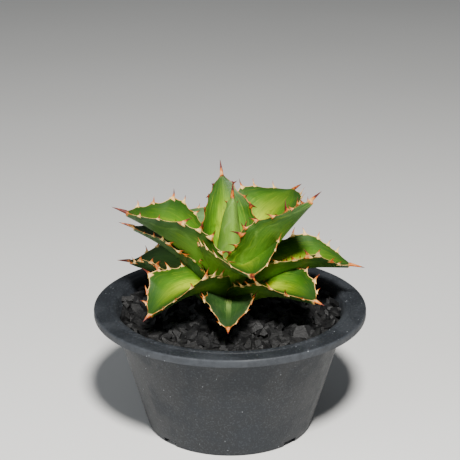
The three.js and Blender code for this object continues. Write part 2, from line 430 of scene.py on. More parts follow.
@dataclass(frozen=True)
class StoneChip:
    """Charcoal stone, each chip of its own shade and bedded its own way, with a broken grain."""

    dark: Colour = (0.0025, 0.0025, 0.0027)
    light: Colour = (0.015, 0.015, 0.0155)
    fleck: Colour = (0.06, 0.06, 0.0595)

    def material(self) -> bpy.types.Material:
        """Mix the finish.

        Returns:
            The stone's material.
        """
        graph = Graph("stone_chip")
        where = graph.place()
        shade = graph.attribute("shade")
        turned = graph.nodes.new("ShaderNodeVectorRotate")
        turned.inputs["Axis"].default_value = (0.3, 0.5, 0.8)
        graph.plug(where, turned.inputs["Vector"])
        graph.plug(graph.maths("MULTIPLY", shade, 40.0), turned.inputs["Angle"])
        bedding = graph.nodes.new("ShaderNodeVectorMath")
        bedding.operation = "MULTIPLY"
        graph.plug(turned.outputs[0], bedding.inputs[0])
        bedding.inputs[1].default_value = (1.0, 1.0, 5.0)
        layers = graph.noise(bedding.outputs[0], 260, 4, 0.65)
        mottle = graph.noise(where, 520, 5, 0.7)
        own = graph.maths("MULTIPLY", shade, 0.6)
        blend = graph.maths("ADD", graph.ramp(layers, 0.35, 0.68, 0, 0.4), own)
        colour = graph.mix(blend, self.dark, self.light)
        colour = graph.mix(graph.ramp(mottle, 0.56, 0.78, 0, 0.6), colour, self.fleck)
        graph.surface(colour, graph.ramp(mottle, 0.3, 0.7, 0.42, 0.7), 0.3)
        graph.relief(graph.maths("ADD", layers, graph.maths("MULTIPLY", mottle, 0.7)), 0.7, 0.0007)
        return graph.material


@dataclass(frozen=True)
class Granular:
    """A loose fill, such as soil or pumice, or a plain fibrous or moulded surface."""

    name: str
    dark: Colour
    light: Colour
    scale: float = 300
    roughness: float = 0.9

    def material(self) -> bpy.types.Material:
        """Mix the finish.

        Returns:
            The fill's material.
        """
        graph = Graph(self.name)
        where = graph.place()
        grains = graph.cells(where, self.scale)
        mottle = graph.noise(where, self.scale * 0.6, 4)
        colour = graph.mix(graph.maths("MULTIPLY", grains, mottle), self.dark, self.light)
        graph.surface(colour, graph.ramp(mottle, 0, 1, self.roughness - 0.08, self.roughness), 0.3)
        graph.relief(grains, 0.8, 0.0012)
        return graph.material


@dataclass(frozen=True)
class LeafFinish:
    """Waxy leaf tissue: a pale stripe inside, darker edges, painted shade, and horn on margin, teeth and
    spine.
    """

    name: str
    stripe: Colour
    flesh: Colour
    edge: Colour
    outer: Colour
    outer_tip: Colour
    bloom_colour: Colour
    bloom: float
    stripe_reach: float
    fibre: float = 0.35
    # deep is the dark green of painted shade
    deep: Colour = (0.007, 0.034, 0.003)
    horn: Colour = (0.78, 0.5, 0.17)
    horn_warm: Colour = (0.5, 0.12, 0.012)
    horn_dark: Colour = (0.1, 0.012, 0.008)

    def grain(self, graph: Graph, fineness: float, stretch: float, detail: float) -> bpy.types.NodeSocket:
        """Return streaks that run along the leaf.

        Args:
            graph: the material's nodes.
            fineness: how many there are across the leaf.
            stretch: how often they change along it.
            detail: how many finer layers they have.

        Returns:
            The streaks' value, from 0 to 1.
        """
        where = graph.vector(
            graph.maths("MULTIPLY", graph.attribute("across"), fineness),
            graph.maths("MULTIPLY", graph.attribute("along"), stretch),
            graph.attribute("tone"),
        )
        return graph.noise(where, 2.5, detail, 0.6)

    def tissue(self, graph: Graph, where: bpy.types.NodeSocket) -> bpy.types.NodeSocket:
        """Colour the leaf's two faces, without its horn.

        Args:
            graph: the material's nodes.
            where: the point's place on the leaf.

        Returns:
            The colour's socket.
        """
        across = graph.maths("ABSOLUTE", graph.attribute("across"))
        along = graph.attribute("along")
        margin = graph.attribute("margin")
        inner = graph.ramp(graph.attribute("inner"), -0.05, 0.12)
        clouds = graph.noise(where, 38, 3)
        blotches = graph.noise(where, 190, 4, 0.6)
        streaks = self.grain(graph, 11, 2.2, 4)
        fibres = self.grain(graph, 46, 4.0, 3)

        ragged = graph.maths("ADD", across, graph.maths("MULTIPLY", streaks, 0.5))
        reach = graph.ramp(ragged, 0.3, self.stripe_reach + 0.25, 1, 0)
        fading = graph.ramp(along, 0.4, 0.92, 1.0, 0.12)
        patchy = graph.ramp(clouds, 0.3, 0.6, 0.45, 1.0)
        share = graph.maths("MULTIPLY", reach, graph.maths("MULTIPLY", fading, patchy))
        inside = graph.mix(share, self.flesh, self.stripe)
        outside = graph.mix(graph.ramp(along, 0.1, 0.95), self.outer, self.outer_tip)
        colour = graph.mix(inner, outside, inside)

        colour = graph.mix(graph.ramp(margin, 0.3, 8.5, 0.9, 0.0), colour, self.edge)
        colour = graph.mix(graph.ramp(along, 0.45, 0.95, 0.0, 0.6), colour, self.edge)
        colour = graph.mix(graph.ramp(streaks, 0.48, 0.75, 0, 0.34), colour, self.edge)
        colour = graph.mix(graph.ramp(streaks, 0.25, 0.48, 0.18, 0), colour, self.stripe)
        colour = graph.mix(graph.ramp(fibres, 0.5, 0.75, 0, self.fibre), colour, self.edge)
        colour = graph.mix(graph.ramp(fibres, 0.28, 0.46, 0.6 * self.fibre, 0), colour, self.bloom_colour)
        colour = graph.mix(graph.ramp(blotches, 0.52, 0.75, 0, 0.4), colour, self.edge)

        scallops = graph.maths("MULTIPLY", graph.maths("SINE", graph.maths("MULTIPLY", along, 27)), 1.1)
        offset = graph.maths("SUBTRACT", graph.maths("SUBTRACT", margin, 5.2), scallops)
        imprint = graph.ramp(graph.maths("ABSOLUTE", offset), 0.1, 1.1, 0.3, 0)
        imprint = graph.maths("MULTIPLY", imprint, graph.maths("SUBTRACT", 1.0, inner))
        imprint = graph.maths("MULTIPLY", imprint, graph.ramp(blotches, 0.35, 0.6))
        colour = graph.mix(imprint, colour, self.bloom_colour)
        wax = graph.maths("MULTIPLY", graph.ramp(clouds, 0.35, 0.7), self.bloom)
        colour = graph.mix(wax, colour, self.bloom_colour)
        # Painted shade: mix towards deep by the leaf's depth, more towards its tip.
        return graph.mix(graph.attribute("depth"), colour, self.deep)

    def horn_colour(self, graph: Graph, where: bpy.types.NodeSocket) -> bpy.types.NodeSocket:
        """Colour the horn, cream where young and red-brown where ripe.

        Args:
            graph: the material's nodes.
            where: the point's place on the leaf.

        Returns:
            The colour's socket.
        """
        uneven = graph.ramp(graph.noise(where, 230, 3), 0.38, 0.66, -0.12, 0.5)
        ripe = graph.maths("ADD", graph.attribute("ripe"), uneven)
        colour = graph.mix(graph.ramp(ripe, 0.2, 0.6), self.horn, self.horn_warm)
        return graph.mix(graph.ramp(ripe, 0.62, 1.0), colour, self.horn_dark)

    def material(self) -> bpy.types.Material:
        """Mix the finish.

        Returns:
            The leaf's material.
        """
        graph = Graph(self.name)
        where = graph.place()
        wander = graph.maths("MULTIPLY", graph.noise(where, 700, 2), 0.2)
        margin = graph.maths("SUBTRACT", graph.attribute("margin"), wander)
        line = graph.ramp(margin, 0.02, 0.22, 1, 0)
        horny = graph.maths("MAXIMUM", line, graph.attribute("horn"))
        colour = graph.mix(horny, self.tissue(graph, where), self.horn_colour(graph, where))
        graph.surface(colour, graph.ramp(graph.noise(where, 110, 3), 0.3, 0.7, 0.4, 0.58), 0.36)
        fibres = graph.maths("MULTIPLY", self.grain(graph, 46, 4.0, 3), 0.8)
        graph.relief(graph.maths("ADD", fibres, graph.noise(where, 1300, 3)), 0.28, 0.0003)
        return graph.material


class LeafAge(Enum):
    """How old a leaf is, or dulled by the shade of others, which sets its colours."""

    SPEAR = LeafFinish(
        "leaf_spear", stripe=(0.3, 0.58, 0.01), flesh=(0.18, 0.4, 0.02), edge=(0.05, 0.16, 0.005),
        outer=(0.17, 0.4, 0.01), outer_tip=(0.24, 0.42, 0.04), bloom_colour=(0.34, 0.52, 0.16),
        bloom=0.3, stripe_reach=0.6, fibre=0.8,
    )
    PRIME = LeafFinish(
        "leaf_prime", stripe=(0.74, 0.9, 0.0), flesh=(0.115, 0.31, 0.004), edge=(0.011, 0.055, 0.002),
        outer=(0.2, 0.42, 0.03), outer_tip=(0.055, 0.17, 0.012), bloom_colour=(0.24, 0.42, 0.07),
        bloom=0.05, stripe_reach=0.62,
    )
    OLDER = LeafFinish(
        "leaf_older", stripe=(0.42, 0.56, 0.12), flesh=(0.1, 0.25, 0.045), edge=(0.016, 0.06, 0.009),
        outer=(0.03, 0.085, 0.006), outer_tip=(0.035, 0.095, 0.01), bloom_colour=(0.18, 0.28, 0.12),
        bloom=0.18, stripe_reach=0.3,
    )
    DULL = LeafFinish(
        "leaf_dull", stripe=(0.24, 0.36, 0.08), flesh=(0.018, 0.064, 0.007), edge=(0.005, 0.022, 0.003),
        outer=(0.025, 0.07, 0.005), outer_tip=(0.03, 0.08, 0.008), bloom_colour=(0.12, 0.2, 0.08),
        bloom=0.15, stripe_reach=0.2,
    )

    @property
    def slot(self) -> str:
        """The record's slot for leaves of this age."""
        return {"SPEAR": "leaf_spear", "OLDER": "leaf_older"}.get(self.name, "leaf_green")


# ---- Pan -----------------------------------------------------------------------------------


@dataclass
class Pan:
    """The flanged plastic pan, with a rounded rim, a foot ring and a drained floor."""

    rim_width: float = 12.6 * MM
    rim_thickness: float = 2.4 * MM
    lip_depth: float = 4.3 * MM
    lip_wall: float = 2.2 * MM
    bead_height: float = 0.5 * MM
    groove_in: float = 7.8 * MM
    foot_radius: float = 46 * MM
    foot_height: float = 3 * MM
    foot_width: float = 5 * MM
    wall: float = 2.4 * MM
    floor: float = 2.6 * MM
    drain_radius: float = 4.5 * MM
    drain_circle: float = 26 * MM
    drains: int = 8
    notches: int = 4
    notch_width: float = 9 * MM
    cutter_play: float = 3 * MM
    smooth_below: float = 32.0
    sides: int = 160
    top: float = field(init=False)
    radius: float = field(init=False)

    def __post_init__(self) -> None:
        """Take the pan's height and radius from the frame."""
        low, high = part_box("pot")
        self.radius = high.x
        self.top = high.z - self.bead_height

    @property
    def opening(self) -> float:
        """The radius of the pan's mouth."""
        return self.radius - self.rim_width

    def inner_radius(self, height: float) -> float:
        """Work out the inside radius.

        Args:
            height: the height that it is wanted at.

        Returns:
            The radius.
        """
        low = self.foot_height + self.floor
        share = (height - low) / (self.top - self.rim_thickness / 4 - low)
        return (self.foot_radius - self.wall) + share * (self.opening - self.foot_radius + self.wall)

    def profile(self) -> list[tuple[float, float]]:
        """Draw the pan's section.

        Returns:
            Radius and height of each ring, from the middle of the underside to that of the floor.
        """
        edge = self.rim_thickness / 2
        under = self.top - self.rim_thickness
        lip_low = self.top - self.lip_depth
        arc = [math.radians(angle) for angle in range(0, 91, 15)]
        shoulder = [
            (self.radius - edge + edge * math.cos(a), self.top - edge + edge * math.sin(a)) for a in arc
        ]
        bead_out = self.radius - self.groove_in - 0.5 * MM
        bead_in = self.opening + 1.3 * MM
        middle, half = (bead_out + bead_in) / 2, (bead_out - bead_in) / 2
        bead = [
            (middle + half * math.cos(a), self.top + self.bead_height * math.sin(a))
            for a in (math.radians(angle) for angle in range(0, 181, 20))
        ]
        low_floor = self.foot_height + self.floor
        return [
            (1 * MM, self.foot_height),
            (self.foot_radius - self.foot_width, self.foot_height),
            (self.foot_radius - self.foot_width + 0.3 * MM, 0.3 * MM),
            (self.foot_radius - self.foot_width + 0.7 * MM, 0.0),
            (self.foot_radius - 0.7 * MM, 0.0),
            (self.foot_radius, 0.5 * MM),
            (self.foot_radius + 0.5 * MM, 2 * MM),
            (self.opening + self.wall - 0.3 * MM, under - 1.5 * MM),
            (self.opening + self.wall + 1 * MM, under),
            (self.radius - self.lip_wall - 0.5 * MM, under),
            (self.radius - self.lip_wall, under - 0.5 * MM),
            (self.radius - self.lip_wall, lip_low + 0.3 * MM),
            (self.radius - self.lip_wall + 0.4 * MM, lip_low),
            (self.radius - 0.6 * MM, lip_low),
            (self.radius - 0.15 * MM, lip_low + 0.2 * MM),
            (self.radius, lip_low + 0.7 * MM),
            (self.radius - 0.1 * MM, self.top - edge - 0.5 * MM),
            *shoulder,
            (self.radius - self.groove_in + 0.6 * MM, self.top),
            (self.radius - self.groove_in, self.top - 0.12 * MM),
            *bead,
            (self.opening + 0.5 * MM, self.top - 0.4 * MM),
            (self.opening, self.top - 1.2 * MM),
            (self.inner_radius(low_floor), low_floor),
            (1 * MM, low_floor),
        ]

    def cut(self, piece: bpy.types.Object, cutter: bpy.types.Object) -> None:
        """Cut one shape out of the pan and throw the cutter away.

        Args:
            piece: the pan.
            cutter: the shape.
        """
        pick(piece)
        boolean = piece.modifiers.new("cut", "BOOLEAN")
        boolean.object = cutter
        boolean.solver = "EXACT"
        bpy.ops.object.modifier_apply(modifier=boolean.name)
        bpy.data.objects.remove(cutter, do_unlink=True)

    def build(self) -> bpy.types.Object:
        """Model the pan, then drill its floor and notch its foot.

        Returns:
            The finished pan.
        """
        piece = turn_on_wheel("pan", self.profile(), self.sides)
        cutters = []
        for i in range(self.drains):
            angle = 2 * math.pi * i / self.drains
            middle = self.foot_height + self.floor / 2
            spot = (self.drain_circle * math.cos(angle), self.drain_circle * math.sin(angle), middle)
            bpy.ops.mesh.primitive_cylinder_add(
                vertices=32, radius=self.drain_radius, depth=self.floor + 2 * self.cutter_play, location=spot
            )
            cutters.append(bpy.context.object)
        for i in range(self.notches):
            angle = 2 * math.pi * (i + 0.5) / self.notches
            reach = self.foot_radius - self.foot_width / 2
            spot = (reach * math.cos(angle), reach * math.sin(angle), self.foot_height / 2 - 0.02 * MM)
            bpy.ops.mesh.primitive_cube_add(size=1, location=spot, rotation=(0, 0, angle))
            cutter = bpy.context.object
            cutter.scale = (self.foot_width + 2 * self.cutter_play, self.notch_width, self.foot_height)
            cutters.append(cutter)
        self.cut(piece, join(cutters, "cutters"))
        pick(piece)
        bpy.ops.object.shade_smooth_by_angle(angle=math.radians(self.smooth_below))
        piece.data.materials.append(PanPlastic(self.radius).material())
        return finish_piece(piece, "pot_plastic", "pot")


# ---- Stone dressing ------------------------------------------------------------------------


@dataclass
class Dressing:
    """Several hundred angular stone chips on a dark bed, filling the pan to below its rim.

    Each layer gives its depth below the fill, its spacing and how much larger its chips are. Each
    slab, one of the few largest stones, gives its place and size.
    """

    pan: Pan
    below_rim: float = 4.5 * MM
    smallest: float = 4.5 * MM
    largest: float = 15 * MM
    usual: float = 7 * MM
    kinds: int = 14
    facets: int = 9
    bed_depth: float = 5.5 * MM
    bed_gap: float = 0.5 * MM
    stem_room: float = 9.5 * MM
    layers: tuple[tuple[float, float, float], ...] = (
        (5.2 * MM, 7 * MM, 1.1), (3 * MM, 6.6 * MM, 1.0),
        (1.2 * MM, 7.6 * MM, 1.0), (0.2 * MM, 13 * MM, 0.85),
    )
    ring_chips: int = 58
    ring_size: tuple[float, float] = (5.5 * MM, 8.5 * MM)
    slabs: tuple[tuple[float, float, float], ...] = (
        (38 * MM, -31 * MM, 19 * MM), (-20 * MM, -50 * MM, 12 * MM), (-50 * MM, -14 * MM, 13 * MM),
        (16 * MM, -52 * MM, 12 * MM), (4 * MM, 50 * MM, 15 * MM), (47 * MM, 22 * MM, 14 * MM),
    )
    seed: int = 11

    @property
    def level(self) -> float:
        """The height that the chips are filled to."""
        return self.pan.top - self.below_rim

    def chip(self, rng: random.Random, index: int) -> bpy.types.Object:
        """Break one chip out of a block, with flat faces at odd angles.

        Args:
            rng: the chips' own random numbers.
            index: the chip's number.

        Returns:
            A chip about 1 unit across, round the origin.
        """
        clear_selection()
        bpy.ops.mesh.primitive_cube_add(size=1)
        piece = bpy.context.object
        piece.name = f"chip_{index}"
        bpy.ops.object.mode_set(mode="EDIT")
        bpy.ops.mesh.select_all(action="SELECT")
        stretch = (rng.uniform(0.85, 1.15), rng.uniform(0.65, 0.95), rng.uniform(0.4, 0.75))
        bpy.ops.transform.resize(value=stretch)
        for _ in range(self.facets):
            tilt = Vector((rng.uniform(-1, 1), rng.uniform(-1, 1), rng.uniform(-0.9, 0.9))).normalized()
            reach = rng.uniform(0.24, 0.4) * (0.75 + 0.25 * abs(tilt.x))
            bpy.ops.mesh.select_all(action="SELECT")
            bpy.ops.mesh.bisect(
                plane_co=tilt * reach, plane_no=tilt, use_fill=True, clear_outer=True
            )
        bpy.ops.mesh.select_all(action="SELECT")
        bpy.ops.mesh.remove_doubles(threshold=0.03)
        bpy.ops.mesh.normals_make_consistent(inside=False)
        clear_selection()
        return piece

    def spots(self, rng: random.Random) -> list[tuple[float, float, float, float]]:
        """Choose where the chips lie: layer on layer, then round the edge, then the slabs.

        Args:
            rng: the chips' own random numbers.

        Returns:
            Each chip's x, y, height and size.
        """
        found: list[tuple[float, float, float, float]] = []
        for depth, spacing, grow in self.layers:
            rows = int(self.pan.opening / spacing) + 1
            for row in range(-rows, rows + 1):
                for column in range(-rows, rows + 1):
                    x = (column + 0.5 * (row % 2)) * spacing + rng.uniform(-0.42, 0.42) * spacing
                    y = row * spacing * 0.87 + rng.uniform(-0.42, 0.42) * spacing
                    size = grow * rng.triangular(self.smallest, self.largest, self.usual)
                    height = self.level - depth - 0.12 * size + rng.uniform(-0.7, 0.9) * MM
                    reach = math.hypot(x, y)
                    outer = self.pan.inner_radius(height) - 0.34 * size
                    if self.stem_room + 0.3 * size < reach < outer:
                        found.append((x, y, height, size))
        for i in range(self.ring_chips):
            angle = 2 * math.pi * (i + rng.uniform(-0.3, 0.3)) / self.ring_chips
            size = rng.uniform(*self.ring_size)
            height = self.level + rng.uniform(-0.6, 1.1) * MM
            reach = self.pan.inner_radius(height) - 0.46 * size
            found.append((reach * math.cos(angle), reach * math.sin(angle), height, size))
        found += [(x, y, self.level - 0.1 * size, size) for x, y, size in self.slabs]
        return found

    def bed(self) -> bpy.types.Object:
        """Model the dark bed that closes the view between the chips.

        Returns:
            The bed.
        """
        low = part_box("potting_soil")[1].z + 0.3 * MM
        high = self.level - self.bed_depth
        profile = [
            (1 * MM, low),
            (self.pan.inner_radius(low) - self.bed_gap, low),
            (self.pan.inner_radius(high) - self.bed_gap, high),
            (1 * MM, high),
        ]
        return turn_on_wheel("stone_bed", profile, 72)

    def build(self) -> bpy.types.Object:
        """Break the kinds of chip, lay copies of them, and join them to the bed.

        Returns:
            The finished dressing.
        """
        rng = random.Random(self.seed)
        kinds = [self.chip(rng, i) for i in range(self.kinds)]
        bed = self.bed()
        store(bed.data, "shade", np.zeros(len(bed.data.vertices)))
        pieces = [bed]
        for number, (x, y, height, size) in enumerate(self.spots(rng)):
            mesh = kinds[number % self.kinds].data.copy()
            tilt = Matrix.Rotation(rng.gauss(0, 0.5), 4, "X") @ Matrix.Rotation(rng.gauss(0, 0.5), 4, "Y")
            turn = tilt @ Matrix.Rotation(rng.uniform(0, 2 * math.pi), 4, "Z")
            mesh.transform(Matrix.Translation((x, y, height)) @ turn @ Matrix.Scale(size, 4))
            store(mesh, "shade", np.full(len(mesh.vertices), rng.triangular(0.0, 1.0, 0.3)))
            piece = bpy.data.objects.new(f"chip_{number}", mesh)
            bpy.context.collection.objects.link(piece)
            pieces.append(piece)
        for kind in kinds:
            bpy.data.objects.remove(kind, do_unlink=True)
        piece = join(pieces, "stone_dressing")
        piece.data.materials.clear()
        piece.data.materials.append(StoneChip().material())
        return finish_piece(piece, "dressing_stone", "top_dressing")


# ---- Leaves --------------------------------------------------------------------------------


@dataclass(frozen=True)
class Habit:
    """What all leaves share. Lengths are in millimetres until they are put in place."""

    spiral_start: float = 20.0
    spiral_step: float = -137.5
    oldest_step: int = 20
    inner_base: tuple[float, float] = (2.5, 16.5)
    outer_base: tuple[float, float] = (9.5, 6.5)
    keel: float = 6.5
    tip_keel: float = 2.2
    crown: float = 0.6
    base_width_share: float = 0.7
    gutter_fades_from: float = 0.7
    spine_radius: float = 1.1
    edge_thinning: float = 0.3
    fold: float = 1.55
    wave: float = 0.8
    bulge: float = 0.4
    first_tooth: float = 0.24
    last_tooth: float = 0.91
    tooth_size: float = 2.6
    tooth_growth: float = 2.6
    tooth_root: float = 0.985
    tooth_sunk: float = 0.2
    tooth_scale: float = 1.2
    midrib_points: int = 400
    crowding: float = 0.28
    sides: int = 64
    rings: int = 120


@dataclass
class Tooth:
    """One hooked, flattened marginal tooth, modelled 1 unit high from rings of height and width."""

    sides: int = 10
    hook: float = 0.42
    thickness: float = 0.28
    width: float = 0.8
    rings: tuple[tuple[float, float], ...] = (
        (0.1, 0.74), (0.22, 0.52), (0.36, 0.36), (0.52, 0.25), (0.68, 0.17), (0.84, 0.1), (0.95, 0.05),
        (1.0, 0.012),
    )

    def build(self) -> bpy.types.Mesh:
        """Draw the tooth up from its root in rings that narrow and lean over.

        Returns:
            The tooth's mesh, standing on the origin along +Z, hooked towards +X.
        """
        clear_selection()
        bpy.ops.mesh.primitive_circle_add(vertices=self.sides, radius=self.width / 2, fill_type="NGON")
        piece = bpy.context.object
        bpy.ops.object.mode_set(mode="EDIT")
        bpy.ops.mesh.select_all(action="SELECT")
        bpy.ops.transform.resize(value=(1, self.thickness, 1))
        low, size = 0.0, 1.0
        for high, narrow in self.rings:
            lean = self.hook * (high**2 - low**2)
            bpy.ops.mesh.extrude_region_move(TRANSFORM_OT_translate={"value": (lean, 0, high - low)})
            shrink = narrow / size
            middle = (self.hook * high**2, 0, high)
            bpy.ops.transform.resize(value=(shrink, shrink, 1), center_override=middle)
            low, size = high, narrow
        bpy.ops.mesh.select_all(action="SELECT")
        bpy.ops.mesh.normals_make_consistent(inside=False)
        clear_selection()
        mesh = piece.data.copy()
        bpy.data.objects.remove(piece, do_unlink=True)
        height = points_of(mesh)[:, 2]
        store(mesh, "horn", np.ones(len(mesh.vertices)))
        store(mesh, "ripe", 1.05 * np.clip(height, 0, 1) ** 1.7)
        return mesh


@dataclass
class Leaf:
    """One leaf: a guttered blade drawn out to an end spine, with toothed horny margins.

    step is its place on the spiral, turn and roll how far it strays and leans in degrees, and rise the
    angle at which it leaves the stem. reach and height are where its spine ends, out from the axis and
    above the rim, in millimetres, as width and spine are. widest is a share of the blade's length.
    """

    name: str
    step: int
    turn: float
    rise: float
    reach: float
    height: float
    width: float
    gutter: float
    widest: float
    roll: float = 0.0
    age: LeafAge = LeafAge.PRIME
    teeth: int = 8
    ripeness: float = 0.1
    # depth: how much painted shade darkens the leaf
    depth: float = 0.3
    spine: float = 9.0
    taper: float = 1.8
    habit: Habit = field(init=False)
    base: np.ndarray = field(init=False)
    shoulder: np.ndarray = field(init=False)
    tip: np.ndarray = field(init=False)
    side: np.ndarray = field(init=False)
    midrib: tuple[np.ndarray, np.ndarray] = field(init=False)
    length: float = field(init=False)
    blade_end: float = field(init=False)
    rng: random.Random = field(init=False)
    places: list[tuple[int, float, float, float]] = field(init=False)

    def lay_out(self, pan: Pan, level: float, habit: Habit) -> None:
        """Work out the leaf's midrib from the stem to its tip.

        Args:
            pan: the pan, whose rim the heights are measured from.
            level: the dressing's height.
            habit: what all leaves share.
        """
        self.habit = habit
        age = self.step / habit.oldest_step
        azimuth = math.radians(habit.spiral_start + habit.spiral_step * self.step + self.turn)
        outward = np.array([math.cos(azimuth), math.sin(azimuth), 0.0])
        up = np.array([0.0, 0.0, 1.0])
        base_reach, base_height = (a + (b - a) * age for a, b in zip(habit.inner_base, habit.outer_base))
        self.base = outward * base_reach * MM + up * (level + base_height * MM)
        self.tip = outward * self.reach * MM + up * (pan.top + self.height * MM)
        arm = np.linalg.norm(self.tip - self.base) / 2
        rise = math.radians(self.rise)
        self.shoulder = self.base + arm * (outward * math.cos(rise) + up * math.sin(rise))
        chord = Vector(self.tip - self.base).normalized()
        side = Vector(np.cross(up, outward))
        side.rotate(Matrix.Rotation(math.radians(self.roll), 3, chord))
        self.side = np.array(side)
        shares = np.linspace(0, 1, habit.midrib_points)
        points, _ = self.bend(shares)
        lengths = np.concatenate([[0], np.cumsum(np.linalg.norm(np.diff(points, axis=0), axis=1))])
        self.length = lengths[-1]
        self.midrib = (lengths / self.length, shares)
        self.blade_end = 1 - self.spine * MM / self.length
        self.rng = random.Random(100 + self.step)
        self.places = self.tooth_places()

    def bend(self, shares: np.ndarray) -> tuple[np.ndarray, np.ndarray]:
        """Follow the midrib's curve.

        Args:
            shares: shares of the curve, which are not quite shares of its length.

        Returns:
            The points there and the curve's directions.
        """
        t = np.asarray(shares)[:, None]
        point = (1 - t) ** 2 * self.base + 2 * t * (1 - t) * self.shoulder + t**2 * self.tip
        along = 2 * (1 - t) * (self.shoulder - self.base) + 2 * t * (self.tip - self.shoulder)
        return point, along / np.linalg.norm(along, axis=1, keepdims=True)

    def frames(self, share: np.ndarray) -> tuple[np.ndarray, np.ndarray, np.ndarray]:
        """Find how the leaf lies along its length.

        Args:
            share: shares of the leaf's length.

        Returns:
            The midrib's points, its directions, and the inner face's normals.
        """
        centre, along = self.bend(np.interp(share, *self.midrib))
        normal = np.cross(along, self.side)
        return centre, along, normal / np.linalg.norm(normal, axis=1, keepdims=True)

    def half_width(self, share: np.ndarray) -> np.ndarray:
        """Work out half the blade's width, in metres.

        Args:
            share: shares of the leaf's length.

        Returns:
            The half width at each.
        """
        along = np.clip(share / self.blade_end, 0, 1)
        swell = np.sin(np.clip(along / self.widest, 0, 1) * math.pi / 2)
        lower = self.habit.base_width_share + (1 - self.habit.base_width_share) * swell
        narrowing = np.clip((along - self.widest) / (1 - self.widest), 0, 1) ** self.taper
        full = self.width / 2
        upper = full + (self.habit.spine_radius - full) * narrowing
        return np.where(along < self.widest, full * lower, upper) * MM

    def tooth_places(self) -> list[tuple[int, float, float, float]]:
        """Choose where the teeth stand and how large they are.

        Returns:
            Each tooth's side, share of the leaf's length, height in millimetres, and hook.
        """
        habit = self.habit
        places = []
        for side in (-1, 1):
            for i in range(self.teeth):
                step = i / (self.teeth - 1)
                share = habit.first_tooth + (habit.last_tooth - habit.first_tooth) * step
                share = self.blade_end * share + self.rng.uniform(-0.022, 0.022)
                size = habit.tooth_size + habit.tooth_growth * math.sin(math.pi * (0.14 + 0.76 * step))
                size *= self.rng.uniform(0.72, 1.2) * min(1.0, 0.45 + self.width / 60)
                hook = (1.1 * step - 0.6) + self.rng.uniform(-0.6, 0.6)
                places.append((side, share, size, hook))
        return places

    def surface(self, share: np.ndarray, across: np.ndarray, upward: np.ndarray) -> np.ndarray:
        """Return points on the leaf's skin.

        Args:
            share: share of the leaf's length.
            across: from -1 on one margin to 1 on the other.
            upward: 1 on the inner face's middle, -1 on the keel.

        Returns:
            The points, one row each.
        """
        habit = self.habit
        centre, _, normal = self.frames(share)
        in_spine = np.clip((share - self.blade_end) / (1 - self.blade_end), 0, 1)
        spine = habit.spine_radius * MM * (1 - in_spine) ** 0.85
        is_spine = in_spine > 0
        width = np.where(is_spine, spine, self.half_width(share))
        bulge = np.zeros_like(share)
        for side, place, size, _ in self.places:
            near = np.exp(-(((share - place) * self.length / (0.68 * size * MM)) ** 2))
            near = np.where(across * side > 0, near, 0) * np.abs(across) ** 6
            bulge += habit.bulge * size * MM * near
        keel = (habit.keel + (habit.tip_keel - habit.keel) * np.clip(share / self.blade_end, 0, 1)) * MM
        keel = np.where(is_spine, spine, keel)
        crown = np.where(is_spine, spine, habit.crown * MM)
        fade_start = self.blade_end * habit.gutter_fades_from
        fade = 1 - np.clip((share - fade_start) / (1 - fade_start), 0, 1)
        sway = np.sin(share * 19 + self.step + np.where(across > 0, 1.9, 0))
        waves = habit.wave * MM * sway * np.abs(across) ** 3 * (1 - in_spine) * fade
        outwards = width * across + np.where(is_spine, 0, bulge * np.sign(across))
        folded = np.abs(outwards) ** habit.fold * np.maximum(width, 1e-6) ** (1 - habit.fold)
        lift = self.gutter * fade * folded + waves
        lift = lift + np.where(upward > 0, crown, keel) * upward * np.abs(upward) ** habit.edge_thinning
        return centre + outwards[:, None] * self.side + lift[:, None] * normal

    def blade(self) -> bpy.types.Object:
        """Draw a ball out along the midrib into the blade and its end spine.

        Returns:
            The blade, with all that its finish reads stored on its points.
        """
        clear_selection()
        bpy.ops.mesh.primitive_uv_sphere_add(
            segments=self.habit.sides, ring_count=self.habit.rings, radius=1
        )
        piece = bpy.context.object
        blank = points_of(piece.data)
        share = 1 - np.arccos(np.clip(blank[:, 2], -1, 1)) / math.pi
        around = np.arctan2(blank[:, 1], blank[:, 0])
        around = around - self.habit.crowding * np.sin(2 * around)
        across, upward = np.cos(around), np.sin(around)
        poles = np.hypot(blank[:, 0], blank[:, 1]) < 1e-4
        across[poles], upward[poles] = 0.0, 0.0
        place_points(piece.data, self.surface(share, across, upward))

        along = np.clip(share / self.blade_end, 0, 1)
        in_spine = np.clip((share - self.blade_end) / (1 - self.blade_end), 0, 1)
        before_spine = np.clip((self.blade_end - share) * self.length / (7 * MM), 0, 1)
        inwards = (1 - np.abs(across)) * self.half_width(share) / MM
        deep = np.where(upward > 0, self.habit.crown, self.habit.keel) * np.abs(upward) ** 1.3
        margin = np.hypot(inwards, deep)
        store(piece.data, "across", across)
        store(piece.data, "along", along)
        store(piece.data, "inner", upward)
        store(piece.data, "margin", np.where(in_spine > 0, 0, margin))
        store(piece.data, "horn", np.clip((share - self.blade_end) * self.length / (0.8 * MM) + 1, 0, 1))
        ripe = self.ripeness + 0.25 * (1 - before_spine)
        store(piece.data, "ripe", np.where(in_spine > 0, 0.4 + 0.6 * in_spine, ripe))
        store(piece.data, "tone", np.full(len(blank), self.step * 1.7))
        # depth stores painted shade, stronger towards the tip.
        store(piece.data, "depth", np.clip(self.depth * (0.25 + 1.3 * along**1.5), 0, 0.95))
        bpy.ops.object.shade_smooth()
        return piece

